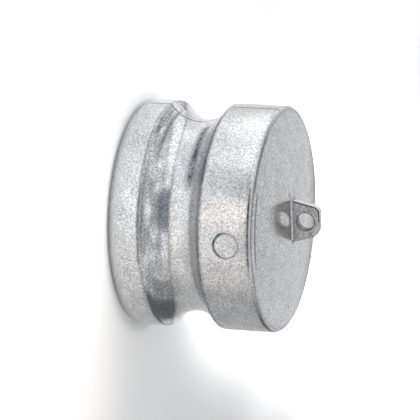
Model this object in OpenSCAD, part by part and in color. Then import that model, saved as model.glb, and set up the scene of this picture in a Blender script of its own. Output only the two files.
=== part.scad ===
// Cam and groove dust plug, 2 inch size: one hollow aluminium casting.
// It pushes into the open end of a cam and groove coupler, whose two cam levers press on
// the round groove, and it is tied to the coupler by its eye.
// Origin: centre of the open nose face. +Z runs along the plug to the closed end.
// The eye's plate lies in the XZ plane, the parting plane of the mould.

/* [Body] */
// Outside diameter of the nose ring and of the collar
plug_d = 63.0; // [60:0.5:75]
// Length from the nose face to the rim of the closed end
plug_len = 40.9; // [38:0.1:60]
// Rise of the crowned closed end above its rim
crown_rise = 2.9; // [0.5:0.1:4]
// Radius of the rounded rim at the closed end
rim_round = 1.3; // [0.5:0.1:2.5]

/* [Nose] */
// Length of the curved lead-in that guides the plug into a coupler
lead_in_len = 4.6; // [2:0.1:6]
// How far the lead-in has drawn in at the nose face
lead_in_drop = 1.4; // [0.3:0.1:2]
// Radius of the edge between the lead-in and the nose face
nose_round = 0.5; // [0.2:0.1:1]

/* [Cam groove] */
// Radius of the round groove that the cams press on
groove_round = 9.9; // [9:0.1:12]
// Depth of the groove below the outside diameter
groove_depth = 4.7; // [3:0.1:5.5]
// Height of the middle of the groove above the nose face
groove_z = 17.8; // [16:0.1:20]
// Radius of the shoulder between the nose ring and the groove
ring_shoulder = 0.6; // [0.3:0.1:2.5]
// Radius of the shoulder between the groove and the collar
collar_shoulder = 0.5; // [0.3:0.1:2.5]

/* [Hollow core] */
// Diameter of the core at the nose face
core_d = 45.0; // [36:0.5:46]
// Draft of the core's wall, in degrees
core_draft = 1.5; // [0.5:0.5:3]
// Thickness of the closed end
end_wall = 5.0; // [3:0.5:8]
// Radius of the fillet between the core's wall and the closed end
core_fillet = 4.0; // [1:0.5:6]
// Bevel round the mouth of the core
mouth_bevel = 0.8; // [0.3:0.1:1.5]

/* [Eye] */
// Width of the eye's plate at the top of the crown
eye_root_w = 11.8; // [10:0.1:16]
// Width of the eye's plate at its tip, with its corners square
eye_tip_w = 8.2; // [7:0.1:9.5]
// Height of the eye's plate above the top of the crown
eye_h = 7.7; // [7.5:0.1:14]
// Thickness of the eye's plate
eye_t = 2.8; // [2:0.1:4]
// Radius of the tip's corner on the -X side
eye_corner = 2.0; // [1:0.1:3]
// Radius of the tip's rounder corner, on the +X side
eye_round_corner = 3.6; // [1:0.1:4]
// Diameter of the hole for a chain's hook or ring
eye_hole_d = 5.0; // [3:0.1:5.2]
// Height of the hole's centre above the top of the crown
eye_hole_h = 3.6; // [3.5:0.1:4.5]

/* [Casting marks] */
// Diameter of the round pad that an ejector pin left on the collar
pad_d = 6.5; // [4:0.1:9]
// Height of the pad's flat face above the collar, at its middle
pad_rise = 0.2; // [0.1:0.05:0.6]
// Height of the pad's centre above the nose face
pad_z = 34.1; // [31:0.1:36]
// Turn of the pad round the plug, counted from the front of the eye's plate, in degrees
pad_turn = -2.8; // [-20:0.1:20]
// Radius of the ridge that the mould's joint left along the root of the eye's plate
ridge_r = 0.45; // [0.2:0.05:0.8]
// How far the ridge runs on past the eye's plate, on its -X side
ridge_overrun = 2.9; // [0:0.1:5]

/* [Hidden] */
$fn = 96;

plug_r = plug_d / 2;
core_r = core_d / 2;
crown_top = plug_len + crown_rise;
// The crown is part of a large ball that passes through the rim
crown_round = (plug_r * plug_r + crown_rise * crown_rise) / (2 * crown_rise);
crown_centre_z = crown_top - crown_round;
// The lead-in is an arc that ends tangent to the nose ring
lead_in_round = (lead_in_len * lead_in_len + lead_in_drop * lead_in_drop) / (2 * lead_in_drop);
lead_in_centre_r = plug_r - lead_in_round;
groove_centre_r = plug_r - groove_depth + groove_round;
// The eye's sides lean in from the root to the tip
eye_lean = atan2((eye_root_w - eye_tip_w) / 2, eye_h);
// How far a cut runs past the surface that it opens
over = 1;
// How deep an added part is rooted in the casting
rooted = 2;
// Facets of the large ball, so that each one is short on the crown
ball_facets = 960;

// Takes the sharp corner off an outline, down to an arc of radius r about a centre.
// The arc runs from direction a to direction b, where it touches the two lines it joins.
module corner_waste(centre, r, a, b) {
    past = r * 1.05;
    reach = r * 2.5;
    middle = (a + b) / 2;
    translate(centre)
        difference() {
            polygon([
                [0, 0],
                [past * cos(a), past * sin(a)],
                [reach * cos(middle), reach * sin(middle)],
                [past * cos(b), past * sin(b)]
            ]);
            circle(r);
        }
}

// The curved lead-in, as what the nose ring's square corner loses
module lead_in_waste() {
    difference() {
        translate([plug_r - lead_in_drop, -over])
            square([lead_in_drop + over, lead_in_len + over]);
        translate([lead_in_centre_r, lead_in_len])
            circle(lead_in_round);
    }
}

// The edge between the lead-in and the nose face
module nose_edge_waste() {
    down = nose_round - lead_in_len;
    out = sqrt(pow(lead_in_round - nose_round, 2) - down * down);
    corner_waste([lead_in_centre_r + out, nose_round], nose_round, -90, atan2(down, out));
}

// A shoulder between the outside and the groove; side is -1 at the nose ring, 1 at the collar
module shoulder_waste(r, side) {
    out = groove_centre_r - plug_r + r;
    up = sqrt(pow(groove_round + r, 2) - out * out);
    corner_waste([plug_r - r, groove_z + side * up], r, 0, atan2(-side * up, out));
}

// The rim between the collar and the crown
module rim_waste() {
    out = plug_r - rim_round;
    up = sqrt(pow(crown_round - rim_round, 2) - out * out);
    corner_waste([out, crown_centre_z + up], rim_round, 0, atan2(up, out));
}

// Right half of the plug's outside, from the axis outwards
module outside() {
    difference() {
        intersection() {
            square([plug_r, crown_top]);
            translate([0, crown_centre_z])
                circle(crown_round, $fn = ball_facets);
        }
        lead_in_waste();
        nose_edge_waste();
        translate([groove_centre_r, groove_z])
            circle(groove_round);
        shoulder_waste(ring_shoulder, -1);
        shoulder_waste(collar_shoulder, 1);
        rim_waste();
    }
}

// The fillet inside the closed end: its centre lies one radius in from the drafted wall
// and one radius in from the crowned inner face
module core_fillet_waste() {
    lean = tan(core_draft);
    wall_r = core_r - core_fillet / cos(core_draft);
    ball = crown_round - end_wall - core_fillet;
    half_b = wall_r * lean + crown_centre_z;
    c = wall_r * wall_r + crown_centre_z * crown_centre_z - ball * ball;
    z = (half_b + sqrt(half_b * half_b - (1 + lean * lean) * c)) / (1 + lean * lean);
    x = wall_r - z * lean;
    corner_waste([x, z], core_fillet, core_draft, atan2(z - crown_centre_z, x));
}

// Right half of the hollow core, with its bevelled mouth
module core() {
    difference() {
        intersection() {
            polygon([
                [0, -over],
                [core_r + over * tan(core_draft), -over],
                [core_r - plug_len * tan(core_draft), plug_len],
                [0, plug_len]
            ]);
            translate([0, crown_centre_z])
                circle(crown_round - end_wall, $fn = ball_facets);
        }
        core_fillet_waste();
    }
    polygon([
        [0, -over],
        [core_r + mouth_bevel + over, -over],
        [core_r - over, mouth_bevel + over],
        [0, mouth_bevel + over]
    ]);
}

// The turned form of the casting
module shell() {
    rotate_extrude(convexity = 6)
        difference() {
            outside();
            core();
        }
}

// What the tip's square corner loses to a corner of radius r, on the +X side
module eye_corner_waste(r) {
    out = eye_tip_w / 2 + r * tan(eye_lean) - r / cos(eye_lean);
    corner_waste([out, eye_h - r], r, eye_lean, 90);
}

// Outline of the eye's plate, from its root in the crown to its tip
module eye_outline() {
    tip = eye_tip_w / 2;
    root = eye_root_w / 2 + rooted * tan(eye_lean);
    difference() {
        polygon([[-root, -rooted], [root, -rooted], [tip, eye_h], [-tip, eye_h]]);
        eye_corner_waste(eye_round_corner);
        mirror([1, 0])
            eye_corner_waste(eye_corner);
    }
}

// The eye: a tapered plate that stands on the crown, with one hole
module eye() {
    translate([0, 0, crown_top])
        rotate([90, 0, 0])
            linear_extrude(height = eye_t, center = true)
                eye_outline();
}

module eye_hole() {
    translate([0, 0, crown_top + eye_hole_h])
        rotate([90, 0, 0])
            cylinder(d = eye_hole_d, h = eye_t + 2 * over, center = true);
}

// The ridge along the front of the eye's root, a round bead half sunk in the crown
module root_ridge() {
    start = -eye_root_w / 2 - ridge_overrun;
    run = eye_root_w + ridge_overrun;
    translate([start, -eye_t / 2 - ridge_r, crown_top - ridge_r / 2]) {
        rotate([0, 90, 0])
            cylinder(r = ridge_r, h = run);
        sphere(ridge_r);
        translate([run, 0, 0])
            sphere(ridge_r);
    }
}

// The ejector pin's round pad, flat across the collar's curve
module ejector_pad() {
    rotate([0, 0, pad_turn])
        translate([0, -plug_r + rooted, pad_z])
            rotate([90, 0, 0])
                cylinder(d = pad_d, h = rooted + pad_rise);
}

module dust_plug() {
    color([0.80, 0.80, 0.79])
        difference() {
            union() {
                shell();
                eye();
                root_ridge();
                ejector_pad();
            }
            eye_hole();
        }
}

dust_plug();
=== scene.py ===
import math

import bmesh
import bpy
from mathutils import Matrix, Vector, noise


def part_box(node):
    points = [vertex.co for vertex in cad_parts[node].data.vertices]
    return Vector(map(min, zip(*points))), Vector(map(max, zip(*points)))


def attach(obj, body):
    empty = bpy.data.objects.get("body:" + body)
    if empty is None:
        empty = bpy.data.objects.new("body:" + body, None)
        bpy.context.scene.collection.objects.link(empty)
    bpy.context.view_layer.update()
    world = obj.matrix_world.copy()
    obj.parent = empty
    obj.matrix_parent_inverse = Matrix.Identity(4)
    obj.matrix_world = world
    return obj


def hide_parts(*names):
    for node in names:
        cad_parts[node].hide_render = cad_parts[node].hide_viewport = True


# The plug stands on its open nose at z = 0, with its axis on Z and the eye on top. Lengths
# are in millimetres, and turn to metres where a mesh, the camera or a lamp is made.
MM = 0.001
QUARTER = math.pi / 2

# The turned form
CROWN_RISE = 2.9
RIM_ROUND = 1.3
LEAD_IN_LEN = 4.6
LEAD_IN_DROP = 1.4
NOSE_ROUND = 0.5
GROOVE_ROUND = 9.9
GROOVE_DEPTH = 4.7
GROOVE_Z = 17.8
RING_SHOULDER = 0.6
COLLAR_SHOULDER = 0.5
CORE_R = 22.5
CORE_DRAFT = math.radians(1.5)
END_WALL = 5.0
CORE_FILLET = 4.0
MOUTH_BEVEL = 0.8

# Most that two points of the section lie apart, on its arcs and then on the rest
CROWN_STEP = 0.8
RIM_STEP = 0.16
SHOULDER_STEP = 0.2
GROOVE_STEP = 0.35
NOSE_STEP = 0.12
CORE_FILLET_STEP = 0.6
CORE_TOP_STEP = 2.0
OUTSIDE_STEP = 0.75
INSIDE_STEP = 2.2
# Number of steps round the plug
SEGMENTS = 256
# Points closer than this are one point
SAME_POINT = 0.01
# Edges that turn by more than this stay sharp
SHARP_TURN = math.radians(50)

# The eye
EYE_ROOT_W = 11.8
EYE_TIP_W = 8.2
EYE_H = 7.7
EYE_T = 2.8
EYE_CORNER = 2.0
# The tip's corner on the +X side is rounder
EYE_ROUND_CORNER = 3.6
# Radius of the plate's small rounded edges, and of those at the hole
EYE_EDGE = 0.35
EYE_HOLE_EDGE = 0.25
EYE_HOLE_R = 2.5
EYE_HOLE_H = 3.6
# How deep the plate goes into the crown
ROOTED = 3.0
# Number of angles at which the plate's outline is worked out, and of steps over an edge
EYE_ANGLES = 160
EDGE_STEPS = 5
# Width of the flat ring beside each rounded edge
FLAT_RING = 0.06

# The cast fillet round the eye's root, and how far it goes into the crown and the plate
ROOT_FILLET = 0.45
FILLET_STEPS = 6
FILLET_SUNK = 0.4
FILLET_UNDER = 0.2

# The ridge along the front of the eye's root
RIDGE_R = 0.45
RIDGE_OVERRUN = 2.9
RIDGE_RINGS = 60
RIDGE_SIDES = 16
# How far its axis lies in front of the plate, and below the crown's surface
RIDGE_FRONT = RIDGE_R * 1.25
RIDGE_SUNK = 0.1
# Its waves: how many to a millimetre and their fixed seed, then how far they go sideways and
# how much they swell it
RIDGE_WAVES = 0.7
RIDGE_SEED = 3.1
RIDGE_WAVE = 0.06
RIDGE_SWELL = 0.15
# Past the plate it turns away and thins
RIDGE_BEND = 0.11
RIDGE_THIN = 0.1
# Its depth as a share of its height, how blunt its ends are, and their least radius
RIDGE_DEPTH = 0.85
RIDGE_BLUNT = 16
RIDGE_TIP_R = 0.01

# The ejector pin's pad on the collar
PAD_R = 3.25
PAD_RISE = 0.2
PAD_Z = 34.1
PAD_TURN = math.radians(-2.8)
# Half the width of its rounded edge
PAD_EDGE = 0.14
# Radius and depth of the crease at its foot, and where the collar is plain again
PAD_FOOT_R = PAD_R + 1.5 * PAD_EDGE
PAD_CREASE = 0.12
PAD_REACH = PAD_R + 4 * PAD_EDGE
# How far in from the outside diameter a point may still be the pad's
PAD_ZONE = 1.2
# The collar's mesh is cut finer this far past the pad, in this many cuts
PATCH_MARGIN = 0.6
PATCH_CUTS = 5


def colour(hex_code):
    """An sRGB hex code as a linear RGBA colour."""
    parts = [int(hex_code[i:i + 2], 16) / 255 for i in (1, 3, 5)]
    linear = [c / 12.92 if c <= 0.04045 else ((c + 0.055) / 1.055) ** 2.4 for c in parts]
    return (*linear, 1.0)


def node(tree, kind, settings=None, inputs=None):
    """Adds a node. An input takes a value or a link; stops are a ramp's places and colours."""
    made = tree.nodes.new(kind)
    for name, value in (settings or {}).items():
        if name == "stops":
            for stop, (position, hex_code) in zip(made.color_ramp.elements, value):
                stop.position = position
                stop.color = colour(hex_code)
        else:
            setattr(made, name, value)
    for key, value in (inputs or {}).items():
        if isinstance(value, bpy.types.NodeSocket):
            tree.links.new(value, made.inputs[key])
        else:
            made.inputs[key].default_value = value
    return made


def near(distance, width):
    """1 on a line and 0 away from it, over a width."""
    return math.exp(-(distance / width) ** 2)


def between(value, start, end, soft):
    """1 from start to end and 0 outside, with a soft change at both."""
    return max(0.0, min(1.0, (value - start) / soft, (end - value) / soft))


def arc(centre, radius, start, end, step):
    """Points along an arc, its two ends among them. Angles are in radians."""
    count = max(3, math.ceil(abs(end - start) * radius / step))
    angles = [start + (end - start) * i / count for i in range(count + 1)]
    return [(centre[0] + radius * math.cos(a), centre[1] + radius * math.sin(a)) for a in angles]


def fill(points, step):
    """The same outline with no stretch longer than step."""
    full = [points[0]]
    for (r0, z0), (r1, z1) in zip(points, points[1:]):
        count = max(1, math.ceil(math.hypot(r1 - r0, z1 - z0) / step))
        for i in range(1, count + 1):
            full.append((r0 + (r1 - r0) * i / count, z0 + (z1 - z0) * i / count))
    return full


def crown_radius(plug_r):
    """Radius of the large ball that the crown is part of."""
    return (plug_r ** 2 + CROWN_RISE ** 2) / (2 * CROWN_RISE)


def crown_height(x, y, plug_r, crown_top):
    """Height of the crown's surface over a point."""
    ball = crown_radius(plug_r)
    return crown_top - ball + math.sqrt(ball ** 2 - x * x - y * y)


def shoulder_centre(size):
    """Where a shoulder's arc is centred, from the groove's centre: inwards, and along Z."""
    inwards = GROOVE_ROUND - GROOVE_DEPTH + size
    return inwards, math.sqrt((GROOVE_ROUND + size) ** 2 - inwards ** 2)


def outer_section(plug_r, crown_z, ball):
    """The section's outside as (radius, height), from the crown's top to the nose face."""
    rim_out = plug_r - RIM_ROUND
    rim_up = math.sqrt((ball - RIM_ROUND) ** 2 - rim_out ** 2)
    rim_angle = math.atan2(rim_up, rim_out)
    points = arc((0, crown_z), ball, QUARTER, rim_angle, CROWN_STEP)
    points += arc((rim_out, crown_z + rim_up), RIM_ROUND, rim_angle, 0, RIM_STEP)

    groove_r = plug_r - GROOVE_DEPTH + GROOVE_ROUND
    collar_in, collar_up = shoulder_centre(COLLAR_SHOULDER)
    ring_in, ring_up = shoulder_centre(RING_SHOULDER)
    collar_angle = math.atan2(collar_up, collar_in)
    ring_angle = math.atan2(ring_up, ring_in)
    collar_centre = (plug_r - COLLAR_SHOULDER, GROOVE_Z + collar_up)
    ring_centre = (plug_r - RING_SHOULDER, GROOVE_Z - ring_up)
    points += arc(collar_centre, COLLAR_SHOULDER, 0, -collar_angle, RIM_STEP)
    points += arc((groove_r, GROOVE_Z), GROOVE_ROUND, math.pi - collar_angle,
                  math.pi + ring_angle, GROOVE_STEP)
    points += arc(ring_centre, RING_SHOULDER, ring_angle, 0, SHOULDER_STEP)

    lead_in_round = (LEAD_IN_LEN ** 2 + LEAD_IN_DROP ** 2) / (2 * LEAD_IN_DROP)
    lead_in_r = plug_r - lead_in_round
    down = NOSE_ROUND - LEAD_IN_LEN
    out = math.sqrt((lead_in_round - NOSE_ROUND) ** 2 - down ** 2)
    nose_angle = math.atan2(down, out)
    points += arc((lead_in_r, LEAD_IN_LEN), lead_in_round, 0, nose_angle, GROOVE_STEP)
    points += arc((lead_in_r + out, NOSE_ROUND), NOSE_ROUND, nose_angle, -QUARTER, NOSE_STEP)
    return points


def inner_section(crown_z, ball):
    """The core's side of the section, from its bevelled mouth up to the axis."""
    lean = math.tan(CORE_DRAFT)
    # The fillet touches the drafted wall and the inner face, which follows the crown
    fillet_ball = ball - END_WALL - CORE_FILLET
    wall_r = CORE_R - CORE_FILLET / math.cos(CORE_DRAFT)
    half_b = wall_r * lean + crown_z
    root = half_b ** 2 - (1 + lean ** 2) * (wall_r ** 2 + crown_z ** 2 - fillet_ball ** 2)
    fillet_z = (half_b + math.sqrt(root)) / (1 + lean ** 2)
    fillet_r = wall_r - fillet_z * lean
    top_angle = math.atan2(fillet_z - crown_z, fillet_r)
    points = [(CORE_R + MOUTH_BEVEL, 0), (CORE_R - MOUTH_BEVEL * lean, MOUTH_BEVEL)]
    points += arc((fillet_r, fillet_z), CORE_FILLET, CORE_DRAFT, top_angle, CORE_FILLET_STEP)
    points += arc((0, crown_z), ball - END_WALL, top_angle, QUARTER, CORE_TOP_STEP)[1:]
    return points


def section(plug_r, crown_top):
    """The casting's half section as (radius, height), from the crown round to the core's top."""
    ball = crown_radius(plug_r)
    crown_z = crown_top - ball
    outline = fill(outer_section(plug_r, crown_z, ball), OUTSIDE_STEP)
    outline += fill(inner_section(crown_z, ball), INSIDE_STEP)
    outline[0] = (0, outline[0][1])
    outline[-1] = (0, outline[-1][1])
    return outline


def mesh_object(name, points, faces=(), edges=()):
    """An object whose mesh has these points, given in millimetres."""
    mesh = bpy.data.meshes.new(name)
    mesh.from_pydata([Vector(p) * MM for p in points], list(edges), list(faces))
    mesh.update()
    made = bpy.data.objects.new(name, mesh)
    bpy.context.scene.collection.objects.link(made)
    return made


def outward(made):
    """Merges doubles and turns every face outwards."""
    work = bmesh.new()
    work.from_mesh(made.data)
    bmesh.ops.remove_doubles(work, verts=work.verts, dist=1e-7)
    bmesh.ops.recalc_face_normals(work, faces=work.faces)
    work.to_mesh(made.data)
    work.free()


def revolve_tree():
    """Geometry nodes that turn a half section in the XZ plane round the Z axis."""
    tree = bpy.data.node_groups.new("revolve_section", "GeometryNodeTree")
    for name, way, kind in (
        ("Section", "INPUT", "NodeSocketGeometry"),
        ("Segments", "INPUT", "NodeSocketInt"),
        ("Finish", "INPUT", "NodeSocketMaterial"),
        ("Casting", "OUTPUT", "NodeSocketGeometry"),
    ):
        tree.interface.new_socket(name, in_out=way, socket_type=kind)
    start = node(tree, "NodeGroupInput").outputs

    # The path is a circle of one metre; the section is moved in by as much, and hangs
    # upside down from it
    path = node(tree, "GeometryNodeCurvePrimitiveCircle", {},
                {"Radius": 1.0, "Resolution": start["Segments"]})
    place = node(tree, "GeometryNodeInputPosition").outputs["Position"]
    parts = node(tree, "ShaderNodeSeparateXYZ", {}, {0: place}).outputs
    moved = node(tree, "ShaderNodeMath", {"operation": "SUBTRACT"}, {0: parts["X"], 1: 1.0})
    turned = node(tree, "ShaderNodeMath", {"operation": "MULTIPLY"}, {0: parts["Z"], 1: -1.0})
    flat = node(tree, "ShaderNodeCombineXYZ", {},
                {"X": moved.outputs[0], "Y": turned.outputs[0]})
    profile = node(tree, "GeometryNodeSetPosition", {},
                   {"Geometry": start["Section"], "Position": flat.outputs[0]})
    curve = node(tree, "GeometryNodeMeshToCurve", {}, {"Mesh": profile.outputs["Geometry"]})
    swept = node(tree, "GeometryNodeCurveToMesh", {},
                 {"Curve": path.outputs["Curve"], "Profile Curve": curve.outputs["Curve"]})
    closed = node(tree, "GeometryNodeMergeByDistance", {},
                  {"Geometry": swept.outputs["Mesh"], "Distance": SAME_POINT * MM})
    real = node(tree, "GeometryNodeRealizeInstances", {},
                {"Geometry": closed.outputs["Geometry"]})
    painted = node(tree, "GeometryNodeSetMaterial", {},
                   {"Geometry": real.outputs["Geometry"], "Material": start["Finish"]})
    node(tree, "NodeGroupOutput", {}, {"Casting": painted.outputs["Geometry"]})
    return tree


def set_input(modifier, name, value):
    """Sets a modifier's input by the identifier of its named socket."""
    for item in modifier.node_group.interface.items_tree:
        if item.name == name and item.in_out == "INPUT":
            modifier[item.identifier] = value


def make_plain(made):
    """Replaces an object's mesh by what its modifiers make of it, and removes them."""
    graph = bpy.context.evaluated_depsgraph_get()
    mesh = bpy.data.meshes.new_from_object(made.evaluated_get(graph))
    made.modifiers.clear()
    made.data = mesh


def casting(finish, plug_r, crown_top):
    """The turned form of the plug, as one closed mesh."""
    outline = section(plug_r, crown_top)
    edges = [(i, i + 1) for i in range(len(outline) - 1)]
    plug = mesh_object("plug_casting", [(r, 0, z) for r, z in outline], edges=edges)
    revolve = plug.modifiers.new("revolve", "NODES")
    revolve.node_group = revolve_tree()
    set_input(revolve, "Segments", SEGMENTS)
    set_input(revolve, "Finish", finish)
    make_plain(plug)
    outward(plug)
    return plug


def from_pad(x, y, z, plug_r):
    """How far a point lies from the pad's centre, round the collar and along it."""
    return (math.atan2(x, -y) - PAD_TURN) * plug_r, z - PAD_Z


def cut_patch(work, plug_r):
    """Cuts a finer mesh into the collar, where the pad will stand."""
    def on_collar(vert):
        return abs(math.hypot(vert.co.x, vert.co.y) - plug_r * MM) < 1e-6

    patch = []
    for edge in work.edges:
        if all(on_collar(vert) for vert in edge.verts):
            middle = (edge.verts[0].co + edge.verts[1].co) / 2
            x, y, z = [c / MM for c in middle]
            round_it, along_it = from_pad(x, y, z, plug_r)
            if y < 0 and max(abs(round_it), abs(along_it)) < PAD_REACH + PATCH_MARGIN:
                patch.append(edge)
    bmesh.ops.subdivide_edges(work, edges=patch, cuts=PATCH_CUTS, use_grid_fill=True)


def add_pad(plug, plug_r):
    """Raises the ejector pin's round pad on the collar."""
    work = bmesh.new()
    work.from_mesh(plug.data)
    cut_patch(work, plug_r)
    for vert in work.verts:
        x, y, z = [c / MM for c in vert.co]
        r = math.hypot(x, y)
        round_it, along_it = from_pad(x, y, z, plug_r)
        away = math.hypot(round_it, along_it)
        if plug_r - r > PAD_ZONE or y > 0 or away > PAD_REACH:
            continue
        # The pad's face is flat; its edge falls to a thin crease in the collar round it
        face_r = (plug_r + PAD_RISE) / math.cos(round_it / plug_r)
        t = min(1, max(0, (PAD_R + PAD_EDGE - away) / (2 * PAD_EDGE)))
        on_pad = t * t * (3 - 2 * t)
        crease = PAD_CREASE * near(away - PAD_FOOT_R, PAD_EDGE)
        wanted = plug_r + (face_r - plug_r) * on_pad - crease
        vert.co.x *= wanted / r
        vert.co.y *= wanted / r
    work.to_mesh(plug.data)
    work.free()


def eye_reach(angle, inset):
    """Distance from the hole's centre to the plate's outline, drawn in by inset."""
    across = abs(math.cos(angle))
    up = math.sin(angle)
    lean = math.atan2((EYE_ROOT_W - EYE_TIP_W) / 2, EYE_H)
    top = EYE_H - EYE_HOLE_H
    side = (EYE_ROOT_W / 2 - EYE_HOLE_H * math.tan(lean)) * math.cos(lean)
    facing_side = across * math.cos(lean) + up * math.sin(lean)
    # The way out meets the leaning side, the top or the root, whichever is nearest
    reaches = [(side - inset) / facing_side] if facing_side > 0 else []
    if up > 0:
        reaches.append((top - inset) / up)
    elif up < 0:
        reaches.append((EYE_HOLE_H + ROOTED - inset) / -up)
    reach = min(reaches)
    # Near a tip's corner it meets the corner's arc before that
    corner = EYE_ROUND_CORNER if math.cos(angle) > 0 else EYE_CORNER
    corner_up = top - corner
    corner_across = (side - corner - corner_up * math.sin(lean)) / math.cos(lean)
    seen = math.atan2(reach * up - corner_up, reach * across - corner_across)
    if lean < seen < QUARTER:
        along = across * corner_across + up * corner_up
        rest = corner_across ** 2 + corner_up ** 2 - (corner - inset) ** 2
        reach = along + math.sqrt(along ** 2 - rest)
    return reach


def ring_mesh(name, rings, closed=True):
    """A mesh from rings of points that follow each other, closed round or capped at its ends."""
    size = len(rings[0])
    points = [p for ring in rings for p in ring]
    faces = []
    for i in range(len(rings) if closed else len(rings) - 1):
        after = (i + 1) % len(rings)
        for j in range(size):
            k = (j + 1) % size
            faces.append((i * size + j, after * size + j, after * size + k, i * size + k))
    if not closed:
        faces += [tuple(range(size)), tuple(range(len(points) - size, len(points)))]
    made = mesh_object(name, points, faces)
    outward(made)
    return made


def over_edge(radius):
    """The way over a rounded edge of the plate: distance from the side wall, and depth."""
    half = EYE_T / 2
    way = [(radius + FLAT_RING, half)]
    for i in range(EDGE_STEPS + 1):
        a = QUARTER * i / EDGE_STEPS
        way.append((radius * (1 - math.sin(a)), half - radius * (1 - math.cos(a))))
    return way


def eye_plate(crown_top):
    """The eye's plate: rings run through the hole and round the outline, at even angles."""
    outer = over_edge(EYE_EDGE)
    inner = over_edge(EYE_HOLE_EDGE)
    rings = []
    for n in range(EYE_ANGLES):
        angle = 2 * math.pi * n / EYE_ANGLES
        ring = [(eye_reach(angle, inset), -depth) for inset, depth in outer]
        ring += [(eye_reach(angle, inset), depth) for inset, depth in outer[::-1]]
        ring += [(EYE_HOLE_R + inset, depth) for inset, depth in inner]
        ring += [(EYE_HOLE_R + inset, -depth) for inset, depth in inner[::-1]]
        middle = crown_top + EYE_HOLE_H
        rings.append([(r * math.cos(angle), y, middle + r * math.sin(angle)) for r, y in ring])
    return ring_mesh("eye_plate", rings)


def root_fillet(plug_r, crown_top):
    """The small cast fillet between the plate and the crown, all round the root."""
    turns = [QUARTER * i / FILLET_STEPS for i in range(FILLET_STEPS + 1)]
    # Each entry: a corner's centre and a direction away from it
    around = []
    for quadrant, (side_x, side_y) in enumerate(((1, 1), (-1, 1), (-1, -1), (1, -1))):
        corner_x = side_x * (EYE_ROOT_W / 2 - EYE_EDGE)
        corner_y = side_y * (EYE_T / 2 - EYE_EDGE)
        for turn in turns:
            a = QUARTER * quadrant + turn
            around.append((corner_x, corner_y, math.cos(a), math.sin(a)))
    # Down the fillet's arc, then under the crown and up inside the plate
    loop = [(ROOT_FILLET * (1 - math.cos(a)), ROOT_FILLET * (1 - math.sin(a))) for a in turns]
    loop += [(ROOT_FILLET, -FILLET_SUNK), (-FILLET_UNDER, -FILLET_SUNK)]
    loop.append((-FILLET_UNDER, ROOT_FILLET))
    rings = []
    for corner_x, corner_y, way_x, way_y in around:
        ring = []
        for out, up in loop:
            x = corner_x + way_x * (EYE_EDGE + out)
            y = corner_y + way_y * (EYE_EDGE + out)
            ring.append((x, y, crown_height(x, y, plug_r, crown_top) + up))
        rings.append(ring)
    return ring_mesh("root_fillet", rings)


def root_ridge(plug_r, crown_top):
    """The ridge along the front of the root, a little wavy, that turns away past the plate."""
    start = -EYE_ROOT_W / 2 - RIDGE_OVERRUN
    end = EYE_ROOT_W / 2
    turns = [2 * math.pi * j / RIDGE_SIDES for j in range(RIDGE_SIDES)]
    rings = []
    for i in range(RIDGE_RINGS + 1):
        t = i / RIDGE_RINGS
        x = start + (end - start) * t
        past = max(0, -EYE_ROOT_W / 2 - x)
        wave = noise.noise(Vector((x * RIDGE_WAVES, RIDGE_SEED, 0.0)))
        y = -EYE_T / 2 - RIDGE_FRONT - RIDGE_BEND * past * past + RIDGE_WAVE * wave
        z = crown_height(x, y, plug_r, crown_top) - RIDGE_SUNK
        share = math.sqrt(max(0, 1 - (2 * t - 1) ** RIDGE_BLUNT))
        share *= (1 + RIDGE_SWELL * wave) * (1 - RIDGE_THIN * past)
        radius = max(RIDGE_R * share, RIDGE_TIP_R)
        rings.append([(x, y + radius * RIDGE_DEPTH * math.cos(a), z + radius * math.sin(a))
                      for a in turns])
    return ring_mesh("root_ridge", rings, closed=False)


def fuse(plug, parts):
    """Joins the parts to the casting as one closed mesh."""
    for part in parts:
        part.data.materials.append(plug.data.materials[0])
        union = plug.modifiers.new("union", "BOOLEAN")
        union.operation = "UNION"
        union.solver = "MANIFOLD"
        union.object = part
        make_plain(plug)
        bpy.data.objects.remove(part)


# Painted shade, painted reflections, a dark band and wear on the turned form. A turn is counted
# from the front of the eye's plate towards +X, in degrees. These are stretches round the plug:
# start, end, and how softly both fade. A mark made stronger in front or on the left is painted
# shade or reflection, set by how the light falls there.
FRONT = (-34, 14, 8)
LEFT = (-92, -28, 14)
RIM_LEFT = (-72, -28, 10)
STREAK_TURNS = (-84, -30, 8)
LOW_LINE_TURNS = (-100, -45, 10)
# How far in from the outside diameter a point still counts as outside, and how far in lie
# the points of the core, which has no marks. Then how far below the rim the crown's begin.
SKIN = 1.4
CORE_IN = GROOVE_DEPTH + 1
CROWN_BAND = 0.6
# Dark lines, each with the width over which it fades. At the nose ring's edge, under the rim, on
# the crown and low in the groove they are painted reflections of dark surroundings; on the rim
# lies a patchy dark band. Then the dark streak high in the groove, a painted reflection too.
RING_LINE_W = 0.22
RIM_LINE_DROP = 0.7
RIM_LINE_W = 0.28
RIM_DARK_IN = 1.1
RIM_DARK_W = 0.5
CROWN_LINE_IN = 3.0
CROWN_LINE_W = 0.35
LOW_LINE_Z = 11.6
LOW_LINE_W = 0.35
STREAK_Z = 21.4
STREAK_W = 1.35
# Painted shade at the collar's edge, and painted shade in the groove next to it: start, end and
# softness
COLLAR_SHADE = (-0.55, 0.1, 0.15)
GROOVE_SHADE = (22.6, 26.2, 1.0)
# A rubbed line under the rim, a bright line in the groove, and the lead-in, which couplers rub
# and which is also brightened as painted light
RIM_WEAR_DROP = 0.25
RIM_WEAR_W = 0.3
GROOVE_BRIGHT_DROP = 1.0
GROOVE_BRIGHT_W = 0.25
LEAD_IN_WEAR_AND_LIGHT = (-1, LEAD_IN_LEN, 3)

# The pad's foot: width of its painted shade, and how much wider that is on the nose's side. Then
# the width of the rubbed line along its edge.
PAD_SHADE_W = 0.2
PAD_SHADE_WIDER = 0.18
PAD_WEAR_W = 0.15
# Marks on the eye: radius of the zone that holds them, width of the bands along the plate's
# edges, and how far a point may lie from a face and still count as on it
EYE_ZONE_R = 14
EDGE_BAND = 0.3
ON_FACE = 0.02
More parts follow.
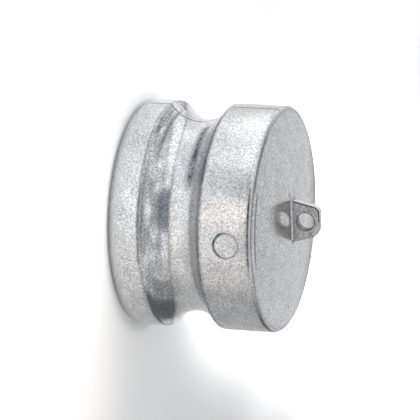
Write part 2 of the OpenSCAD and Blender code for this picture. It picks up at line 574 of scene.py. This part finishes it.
# The ridge's crest, which gets a painted highlight: least height above the crown, and how far in
# front of the plate it starts and ends. Then the width of the painted shade round the root.
CREST_H = 0.2
CREST_START = 0.3
CREST_END = 0.9
ROOT_SHADE_W = 0.4


def body_marks(x, y, z, plug_r, rim_z):
    """Painted shade and reflections, a dark band, wear and painted light of a point of the turned
    form, away from the eye.
    """
    from_ring = z - GROOVE_Z + shoulder_centre(RING_SHOULDER)[1]
    from_collar = z - GROOVE_Z - shoulder_centre(COLLAR_SHOULDER)[1]
    from_rim = z - rim_z
    inwards = plug_r - math.hypot(x, y)
    turn = math.degrees(math.atan2(x, -y))
    front = between(turn, *FRONT)
    left = between(turn, *LEFT)
    # Painted shade at the collar's edge, stronger on the left
    at_collar = between(from_collar, *COLLAR_SHADE) * (0.7 + 0.3 * left)
    dirt_and_shade = [0.0]
    wear_and_highlight_share = [0.0]
    if from_rim > -CROWN_BAND:
        # A patchy dark band on the rim, stronger on the left and weaker in front
        patchy = 0.35 + 0.35 * between(turn, *RIM_LEFT)
        dirt_and_shade.append(near(inwards - RIM_DARK_IN, RIM_DARK_W) * patchy * (1 - 0.8 * front))
    if inwards < SKIN:
        # Painted dark reflections at the nose ring's edge and under the rim, stronger in front and
        # on the left
        dirt_and_shade.append(near(from_ring, RING_LINE_W) * (0.25 + 0.5 * front + 0.4 * left))
        dirt_and_shade.append(near(from_rim + RIM_LINE_DROP, RIM_LINE_W) * front)
        dirt_and_shade.append(at_collar)
        wear_and_highlight_share.append(near(from_rim + RIM_WEAR_DROP, RIM_WEAR_W) * 0.35)
        # The lead-in: rubbed, and brightened as painted light
        wear_and_highlight_share.append(between(z, *LEAD_IN_WEAR_AND_LIGHT) * 0.8)
    elif from_rim > -CROWN_BAND:
        # A painted dark reflection on the crown, in front
        dirt_and_shade.append(near(inwards - CROWN_LINE_IN, CROWN_LINE_W) * 0.85 * front)
    elif from_ring > 0:
        # Painted dark reflections: the streak high in the groove and the line low in it
        dirt_and_shade.append(near(z - STREAK_Z, STREAK_W) * 0.85 * between(turn, *STREAK_TURNS))
        dirt_and_shade.append(near(z - LOW_LINE_Z, LOW_LINE_W) * 0.7 * between(turn, *LOW_LINE_TURNS))
        # Painted shade in the groove under the collar, stronger on the left
        dirt_and_shade.append(between(z, *GROOVE_SHADE) * (0.13 + 0.12 * left))
        dirt_and_shade.append(at_collar)
        # A bright line in the groove under the collar, on the left
        wear_and_highlight_share.append(near(from_collar + GROOVE_BRIGHT_DROP, GROOVE_BRIGHT_W) * 0.7 * left)
    return max(dirt_and_shade), max(wear_and_highlight_share)


def pad_marks(x, y, z, plug_r):
    """Painted shade at the pad's foot, and wear along its edge, of a point of the collar's front.
    """
    away = math.hypot(*from_pad(x, y, z, plug_r))
    # The painted shade at the pad's foot is strongest on the nose's side
    low_side = min(1, max(0, (PAD_Z - z) / PAD_R + 0.35))
    dirt_and_shade = near(away - PAD_FOOT_R, PAD_SHADE_W + PAD_SHADE_WIDER * low_side)
    dirt_and_shade *= 0.35 + 0.65 * low_side
    wear_and_highlight_share = near(away - PAD_R + PAD_EDGE, PAD_WEAR_W) * 0.6
    return dirt_and_shade, wear_and_highlight_share


def eye_marks(x, y, z, plug_r, crown_top):
    """Painted shade and reflections, painted highlights, dirt and browning of a point of the eye,
    or of the crown round it.
    """
    half_t = EYE_T / 2
    above = z - crown_height(x, y, plug_r, crown_top)
    if above > ROOT_FILLET and abs(y) < half_t + ON_FACE:
        # The plate: browned, a little dirty on its faces, with a painted dark reflection along its
        # far edge, painted shade round the hole and painted highlights on its sides
        from_hole = math.hypot(x, z - crown_top - EYE_HOLE_H) - EYE_HOLE_R
        on_edge = half_t - EDGE_BAND < abs(y) < half_t - ON_FACE / 2
        # Painted shade round the hole
        if from_hole < EDGE_BAND:
            return (0.7 if on_edge else 0.35), 0.0, 1.0
        # A painted dark reflection along the far edge
        if on_edge and x < 0:
            return 1.0, 0.0, 1.0
        # Painted highlights on the plate's sides
        if abs(y) < half_t - EDGE_BAND:
            return 0.04, 0.9, 0.0
        return 0.04, 0.0, 1.0
    # A painted highlight on the ridge's crest
    if above > CREST_H and CREST_START < -y - half_t < CREST_END:
        return 0.0, 0.8, 0.0
    # Painted shade round the root
    beside = max(abs(x) - EYE_ROOT_W / 2, abs(y) - half_t)
    return 0.45 * near(max(0, beside - ROOT_FILLET / 2), ROOT_SHADE_W), 0.0, 0.0


def mark_wear_and_shade(plug, plug_r, crown_top):
    """Keeps each point's dirt and painted shade, wear and painted highlights, and browning, for
    the material to read.
    """
    mesh = plug.data
    # The first holds dirt, painted shade and painted dark reflections; the second holds wear and
    # painted highlights
    names = ("crease", "wear_and_highlight", "browned", "seam")
    for name in names:
        mesh.attributes.new(name, "FLOAT", "POINT")
    # Fetched once all are there, because a new attribute moves those before it
    attributes = [mesh.attributes[name] for name in names]
    rim_z = crown_top - CROWN_RISE
    for i, vert in enumerate(mesh.vertices):
        x, y, z = vert.co / MM
        inwards = plug_r - math.hypot(x, y)
        dirt_and_shade = wear_and_highlight_share = brown = seam = 0.0
        if z > rim_z and inwards > plug_r - EYE_ZONE_R:
            dirt_and_shade, wear_and_highlight_share, brown = eye_marks(x, y, z, plug_r, crown_top)
        elif inwards < CORE_IN or z > rim_z:
            dirt_and_shade, wear_and_highlight_share = body_marks(x, y, z, plug_r, rim_z)
            if inwards < PAD_ZONE and y < 0:
                pad_shade, pad_wear = pad_marks(x, y, z, plug_r)
                dirt_and_shade = max(dirt_and_shade, pad_shade)
                wear_and_highlight_share = max(wear_and_highlight_share, pad_wear)
            # The mould's joint shows all round but on the crown
            seam = 1.0 if z < rim_z else 0.0
        for attribute, value in zip(attributes, (dirt_and_shade, wear_and_highlight_share, brown, seam)):
            attribute.data[i].value = value


# Widths of the finish's patterns. Grains of the cast skin are 0.1 to 0.3 mm wide, and drawn
# coarser than that so that they show.
GRAIN_W = 0.45
# Small pits, about one to a square millimetre
PIT_SPACING = 1.1
# Cloudy patches where the tumbling rubbed more or less
CLOUD_W = 4.0
# Spots where the dirt has stayed or gone
SPOT_W = 1.3
# How far the joint's dark line reaches from Y = 0 before it fades, and where it has gone
JOINT_HALF = 0.2
JOINT_FADED = 0.6
# Most that the grains stand up
GRAIN_HEIGHT = 0.05
# Tones of the finish: pits, a grey for dirt and painted shade, and a bright for wear and painted
# highlights
PIT_GREY = "#77797C"
DIRT_AND_SHADE_GREY = "#454B55"
WEAR_AND_HIGHLIGHT_TONE = "#F3F3F1"
# From the darkest to the brightest grains and clouds, and from browned spots to clean ones,
# each with its place in the pattern
GRAIN_TONES = ((0.36, "#9A9C9F"), (0.64, "#F4F3F1"))
CLOUD_TONES = ((0.3, "#E6E6E8"), (0.7, "#FFFFFF"))
BROWN_TONES = ((0.42, "#D9D4CD"), (0.55, "#FFFEFB"))


def joint_line(tree, place, seam):
    """The mould's joint lies at Y = 0, and shows as a dark line on the turned form."""
    across = node(tree, "ShaderNodeSeparateXYZ", {}, {0: place}).outputs["Y"]
    away = node(tree, "ShaderNodeMath", {"operation": "ABSOLUTE"}, {0: across}).outputs[0]
    line = node(tree, "ShaderNodeMapRange", {},
                {"Value": away, "From Min": JOINT_HALF * MM, "From Max": JOINT_FADED * MM,
                 "To Min": 0.75, "To Max": 0.0}).outputs["Result"]
    return node(tree, "ShaderNodeMath", {"operation": "MULTIPLY"}, {0: seam, 1: line}).outputs[0]


def skin_rough(tree, grain, patches, dirt_and_shade, wear_and_highlight):
    """Bright grains and well rubbed patches are smoother; dirt, painted shade, wear and painted
    highlights are duller.
    """
    rough = node(tree, "ShaderNodeMapRange", {},
                 {"Value": grain, "From Min": 0.3, "From Max": 0.7,
                  "To Min": 0.22, "To Max": 0.1}).outputs["Result"]
    cloudy = node(tree, "ShaderNodeMapRange", {},
                  {"Value": patches, "From Min": 0.3, "From Max": 0.7,
                   "To Min": 0.05, "To Max": 0.0}).outputs["Result"]
    for mark, share in ((cloudy, 1.0), (dirt_and_shade, 0.3), (wear_and_highlight, 0.3)):
        rough = node(tree, "ShaderNodeMath", {"operation": "MULTIPLY_ADD"},
                     {0: mark, 1: share, 2: rough}).outputs[0]
    return rough


def cast_aluminium():
    """Aluminium cast in a metal mould and then tumbled.

    The tumbling leaves a satin that still mirrors soft shapes, with a skin of fine bright and
    dark grains that breaks up each reflection. Grey dirt stays along the mould's joint, and grey
    painted shade and painted dark reflections lie in creases and along edges. The eye is a little
    browned, and some edges are rubbed bright or carry painted highlights.
    """
    made = bpy.data.materials.new("tumbled_cast_aluminium")
    made.use_nodes = True
    tree = made.node_tree
    tree.nodes.clear()
    place = node(tree, "ShaderNodeTexCoord").outputs["Object"]

    # Each entry: width, detail and how much of it is fine
    noises = ((GRAIN_W, 3.0, 0.75), (CLOUD_W, 4.0, 0.6), (SPOT_W, 3.0, 0.7))
    grain, patches, spots = [
        node(tree, "ShaderNodeTexNoise", {},
             {"Vector": place, "Scale": 1 / (width * MM), "Detail": detail, "Roughness": fine}
             ).outputs["Fac"]
        for width, detail, fine in noises]
    pits = node(tree, "ShaderNodeTexVoronoi", {},
                {"Vector": place, "Scale": 1 / (PIT_SPACING * MM)})
    # The first two hold dirt with painted shade and dark reflections, and wear with painted
    # highlights
    crease, wear_and_highlight, browned, seam = [
        node(tree, "ShaderNodeAttribute", {"attribute_name": name}).outputs["Fac"]
        for name in ("crease", "wear_and_highlight", "browned", "seam")]

    # Dirt along the joint, and painted shade and dark reflections in the creases and along edges,
    # break up into spots
    dirt_and_shade = node(tree, "ShaderNodeMath", {"operation": "MAXIMUM"},
                {0: crease, 1: joint_line(tree, place, seam)}).outputs[0]
    spotty = node(tree, "ShaderNodeMapRange", {},
                  {"Value": spots, "From Min": 0.38, "From Max": 0.6,
                   "To Min": 0.7, "To Max": 1.2}).outputs["Result"]
    ragged = node(tree, "ShaderNodeMath", {"operation": "MULTIPLY", "use_clamp": True},
                  {0: dirt_and_shade, 1: spotty}).outputs[0]
    # Wear and painted highlights, made brighter
    highlight_and_wear_mix = node(tree, "ShaderNodeMath", {"operation": "MULTIPLY"}, {0: wear_and_highlight, 1: 0.6}).outputs[0]
    dark_pit = node(tree, "ShaderNodeMapRange", {},
                    {"Value": pits.outputs["Distance"], "From Min": 0.1, "From Max": 0.26,
                     "To Min": 0.55, "To Max": 0.0}).outputs["Result"]

    # The grained skin, and what lies over it from the lowest layer up: how it is laid on, how
    # strongly, and its colour
    skin, cloudy, brown = [
        node(tree, "ShaderNodeValToRGB", {"stops": stops}, {"Fac": pattern}).outputs["Color"]
        for pattern, stops in ((grain, GRAIN_TONES), (patches, CLOUD_TONES), (spots, BROWN_TONES))]
    for way, strength, tone in (
        ("MULTIPLY", 1.0, cloudy),
        ("MIX", dark_pit, colour(PIT_GREY)),
        ("MULTIPLY", browned, brown),
        # Grey dirt, painted shade and painted dark reflections
        ("MIX", ragged, colour(DIRT_AND_SHADE_GREY)),
        # Wear and painted highlights
        ("MIX", highlight_and_wear_mix, colour(WEAR_AND_HIGHLIGHT_TONE)),
    ):
        skin = node(tree, "ShaderNodeMix", {"data_type": "RGBA", "blend_type": way},
                    {0: strength, 6: skin, 7: tone}).outputs[2]

    height = node(tree, "ShaderNodeMath", {"operation": "MULTIPLY_ADD"},
                  {0: dark_pit, 1: -0.5, 2: grain}).outputs[0]
    bump = node(tree, "ShaderNodeBump", {},
                {"Strength": 0.25, "Distance": GRAIN_HEIGHT * MM, "Height": height})
    metal = node(tree, "ShaderNodeBsdfPrincipled", {},
                 {"Metallic": 1.0, "Base Color": skin, "Normal": bump.outputs["Normal"],
                  "Roughness": skin_rough(tree, grain, patches, dirt_and_shade, wear_and_highlight)})
    node(tree, "ShaderNodeOutputMaterial", {}, {"Surface": metal.outputs["BSDF"]})
    return made


def table_paper():
    """Matt white paper, which scatters the light evenly and mirrors nothing."""
    made = bpy.data.materials.new("matt_white_paper")
    made.use_nodes = True
    paper = made.node_tree.nodes["Principled BSDF"]
    paper.inputs["Base Color"].default_value = colour("#F4F4F3")
    paper.inputs["Roughness"].default_value = 0.9
    return made


# Camera and light. The picture shows the plug lying down, with its axis running to the
# right: the plug stands, and the camera is rolled a quarter turn. Left and right below are
# those of a viewer who stands where the camera is.
CAMERA_TURN = math.radians(-17.8)
CAMERA_RISE = math.radians(17.91)
CAMERA_ROLL = math.radians(3.35)
# The perspective is weak: the camera stands 30 plug radii away, with a long lens
CAMERA_FAR = 945.0
CAMERA_LENS = 291.2
SENSOR_W = 36
# The middle of the plug's body, and where it lies from the frame's centre, in millimetres at
# the plug
BODY_MIDDLE = 20.46
AIM_RIGHT = 1.02
AIM_UP = -1.41

# Tints of the lamps
PLAIN = "#FCFDFF"
COOL = "#E6EFFF"
WARM = "#FFF3EA"

# Soft panels stand round the plug in columns of two, one low and one above it. Each line
# gives a column's name, its angle round the plug from the viewer, its width in degrees as
# the plug sees it, and the brightness of the low panel and of the one above.
COLUMNS = (
    ("left_132", -132, 36, 1.40, 0.70),
    ("left_100", -100, 28, 1.80, 0.70),
    ("left_72", -72, 28, 1.80, 1.00),
    ("left_42", -42.5, 31, 1.40, 0.85),
    ("right_37", 37, 30, 1.25, 0.55),
    ("right_67", 67, 30, 0.80, 0.65),
    ("right_98", 98, 32, 0.40, 0.35),
    ("right_132", 132, 36, 0.15, 0.15),
)
LOW_RISE = 9
LOW_TALL = 18
MIDDLE_RISE = 29
MIDDLE_TALL = 22
# The other panels: name, angle, rise, width, height, brightness, tint
PANELS = (
    ("back", 180, 26, 60, 48, 0.85, PLAIN),
    ("front_low", -2.5, 17.5, 49, 35, 0.40, COOL),
    ("front_mid", -2.5, 46, 62, 22, 0.60, PLAIN),
    ("high_left_85", -85, 51, 50, 22, 0.75, PLAIN),
    ("high_left_45", -45, 51, 36, 22, 0.30, PLAIN),
    ("high_right_45", 45, 51, 36, 22, 0.40, PLAIN),
    ("high_right_85", 85, 51, 50, 22, 0.55, PLAIN),
    ("over_left", -40, 71, 50, 20, 0.70, PLAIN),
    ("over_right", 40, 71, 50, 20, 0.60, PLAIN),
    ("over_back", 180, 68, 70, 36, 0.40, PLAIN),
    ("over_top", 0, 90, 14, 14, 0.55, PLAIN),
)
# How far from the plug the panels hang
PANEL_FAR = 700.0
# Soft pools on the table, from lamps straight above: name, angle round the plug, distance
# from its axis and radius in millimetres, power, tint
POOLS = (
    ("round_plug", 0, 0, 85, 3, PLAIN),
    ("front_60", 0, 60, 40, 12, PLAIN),
    ("front_110", 0, 110, 50, 5, WARM),
    ("front_160", 0, 160, 60, 18, WARM),
    ("left_22_110", -22, 110, 45, 9, COOL),
    ("left_45_65", -45, 65, 40, 8, COOL),
    ("left_45_120", -45, 120, 60, 4, PLAIN),
    ("left_60_180", -60, 180, 80, 19, PLAIN),
    ("left_90_65", -90, 65, 40, 12, PLAIN),
    ("left_90_120", -90, 120, 60, 9, PLAIN),
    ("left_100_200", -100, 200, 100, 22, PLAIN),
    ("left_135_75", -135, 75, 45, 14, PLAIN),
    ("left_135_140", -135, 140, 70, 5, PLAIN),
    ("left_160_230", -160, 230, 100, 18, COOL),
    ("right_22_110", 22, 110, 45, 11, PLAIN),
    ("right_36_152", 36, 152, 42, 6, WARM),
    ("right_45_65", 45, 65, 40, 6, WARM),
    ("right_45_120", 45, 120, 60, 4, WARM),
    ("right_60_180", 60, 180, 80, 4, WARM),
    ("behind_80", 180, 80, 50, 35, PLAIN),
    ("behind_140", 180, 140, 70, 27, PLAIN),
    ("behind_220", 180, 220, 90, 50, PLAIN),
    ("behind_330", 168, 335, 120, 60, PLAIN),
)
# How high the pools' lamps hang, and their radius, which softens the shadows
LAMP_UP = 600.0
LAMP_R = 20.0
# Brightness of the room's walls
ROOM_LIGHT = 0.013
# Half the width of the table
TABLE_HALF = 4000


def from_viewer(turn, rise):
    """Direction at a turn round the plug from the viewer, anticlockwise from above, and a rise."""
    angle = CAMERA_TURN + turn
    flat = math.cos(rise)
    return Vector((math.sin(angle) * flat, -math.cos(angle) * flat, math.sin(rise)))


def place_camera():
    """Puts the camera where the photograph was taken from, with the plug's axis to the right."""
    back = from_viewer(0, CAMERA_RISE)
    axis = Vector((0, 0, 1))
    along = (axis - back * axis.dot(back)).normalized()
    beside = back.cross(along)
    right = along * math.cos(CAMERA_ROLL) + beside * math.sin(CAMERA_ROLL)
    up = back.cross(right)
    data = bpy.data.cameras.new("camera")
    data.lens = CAMERA_LENS
    data.sensor_width = SENSOR_W
    made = bpy.data.objects.new("camera", data)
    spot = axis * BODY_MIDDLE + back * CAMERA_FAR - right * AIM_RIGHT - up * AIM_UP
    made.location = spot * MM
    made.rotation_mode = "QUATERNION"
    made.rotation_quaternion = Matrix((right, up, back)).transposed().to_quaternion()
    bpy.context.scene.collection.objects.link(made)
    bpy.context.scene.camera = made


def lamp(name, kind, place, tint, power):
    """A lamp of a tint and a power in watts, at a place in millimetres."""
    data = bpy.data.lights.new(name, kind)
    data.energy = power
    data.color = colour(tint)[:3]
    made = bpy.data.objects.new(name, data)
    made.location = place * MM
    bpy.context.scene.collection.objects.link(made)
    return made


def light_room():
    """Weak even light from all the room."""
    world = bpy.data.worlds.new("studio")
    world.use_nodes = True
    room = world.node_tree.nodes["Background"]
    room.inputs["Color"].default_value = colour("#FFFFFF")
    room.inputs["Strength"].default_value = ROOM_LIGHT
    bpy.context.scene.world = world


def hang_panels():
    """The soft panels, which the metal mirrors. The camera doesn't see them."""
    panels = list(PANELS)
    for name, turn, wide, low, middle in COLUMNS:
        panels.append(("low_" + name, turn, LOW_RISE, wide, LOW_TALL, low, PLAIN))
        panels.append(("middle_" + name, turn, MIDDLE_RISE, wide, MIDDLE_TALL, middle, PLAIN))
    for name, turn, rise, wide, tall, bright, tint in panels:
        direction = from_viewer(math.radians(turn), math.radians(rise))
        place = Vector((0, 0, BODY_MIDDLE)) + direction * PANEL_FAR
        width, height = [2 * PANEL_FAR * MM * math.tan(math.radians(a / 2)) for a in (wide, tall)]
        # A panel's power is its brightness times its area times pi
        made = lamp("panel_" + name, "AREA", place, tint, bright * math.pi * width * height)
        made.data.shape = "RECTANGLE"
        made.data.size = width
        made.data.size_y = height
        made.rotation_mode = "QUATERNION"
        made.rotation_quaternion = direction.to_track_quat("Z", "Y")
        made.visible_camera = False


def light_table():
    """The soft pools on the table. The metal doesn't mirror their lamps, only the table."""
    for name, turn, away, radius, power, tint in POOLS:
        place = from_viewer(math.radians(turn), 0) * away + Vector((0, 0, LAMP_UP))
        made = lamp("pool_" + name, "SPOT", place, tint, power)
        made.data.spot_size = 2 * math.atan(radius / LAMP_UP)
        made.data.spot_blend = 1.0
        made.data.shadow_soft_size = LAMP_R * MM
        made.visible_glossy = False


def lay_table():
    """The white table, which isn't part of the plug."""
    signs = ((-1, -1), (1, -1), (1, 1), (-1, 1))
    corners = [(x * TABLE_HALF, y * TABLE_HALF, 0) for x, y in signs]
    made = mesh_object("table", corners, [(0, 1, 2, 3)])
    made.data.materials.append(table_paper())


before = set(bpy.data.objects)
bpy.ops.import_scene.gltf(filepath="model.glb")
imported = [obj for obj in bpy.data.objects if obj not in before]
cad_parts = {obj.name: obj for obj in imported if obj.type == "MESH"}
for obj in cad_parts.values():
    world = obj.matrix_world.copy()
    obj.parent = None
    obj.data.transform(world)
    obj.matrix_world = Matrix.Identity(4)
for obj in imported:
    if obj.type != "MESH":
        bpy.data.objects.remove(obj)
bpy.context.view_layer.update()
plug_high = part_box("dust_plug")[1]
plug_r = plug_high.x / MM
crown_top = plug_high.z / MM - EYE_H
place_camera()
light_room()
hang_panels()
light_table()
lay_table()

plug = casting(cast_aluminium(), plug_r, crown_top)
add_pad(plug, plug_r)
fuse(plug, [eye_plate(crown_top), root_fillet(plug_r, crown_top), root_ridge(plug_r, crown_top)])
mark_wear_and_shade(plug, plug_r, crown_top)
plug.data.shade_smooth()
plug.data.set_sharp_from_angle(angle=SHARP_TURN)
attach(plug, "root")
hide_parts("dust_plug")

bpy.context.scene.view_settings.view_transform = "Standard"
